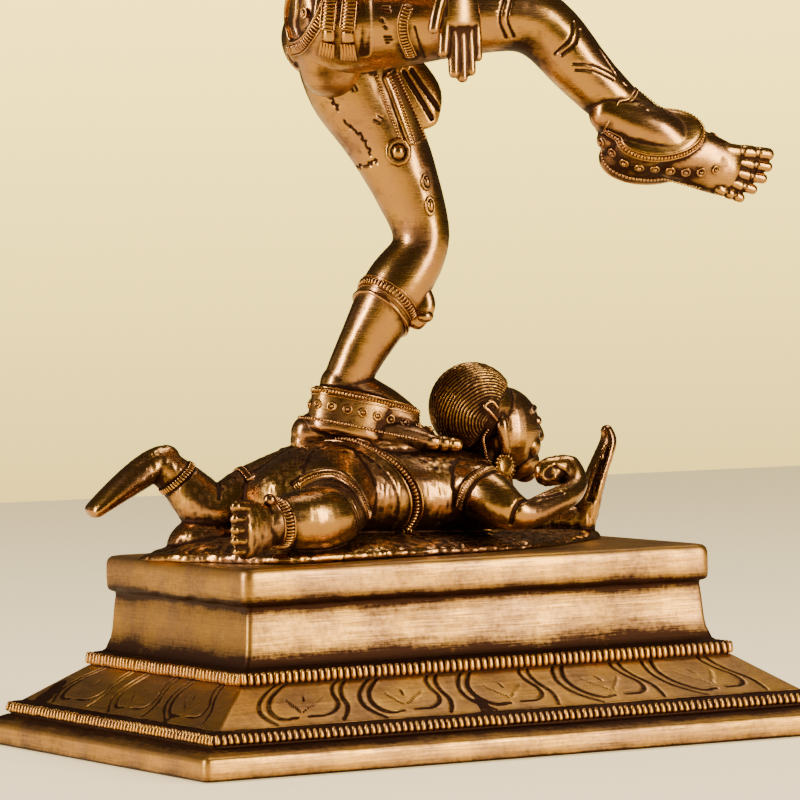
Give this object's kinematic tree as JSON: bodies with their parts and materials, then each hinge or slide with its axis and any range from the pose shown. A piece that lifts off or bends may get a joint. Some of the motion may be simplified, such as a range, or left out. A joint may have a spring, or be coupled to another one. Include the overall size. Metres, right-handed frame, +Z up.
{
  "type": "shiva nataraja statue",
  "caption": "Cast brass dancing Shiva with four arms, one leg swung across, on a prone dwarf and a stepped oblong pedestal.",
  "frame": {"origin": "centre of the pedestal's flat underside", "axes": "+Z up through the dancer's crown, +X along the pedestal's long side towards the dwarf's head and the raised foot, -Y the front"},
  "size_m": [0.34, 0.235, 0.5978],
  "materials": {
    "pedestal_brass": "brushed antique brass, brown in the grooves, bright on the worn edges",
    "figure_brass": "antique brass with near-black patina in the chased hollows and polished limbs"
  },
  "bodies": {
    "root": {"pedestal": "pedestal_brass", "dancer_on_dwarf": "figure_brass"}
  },
  "joints": []
}
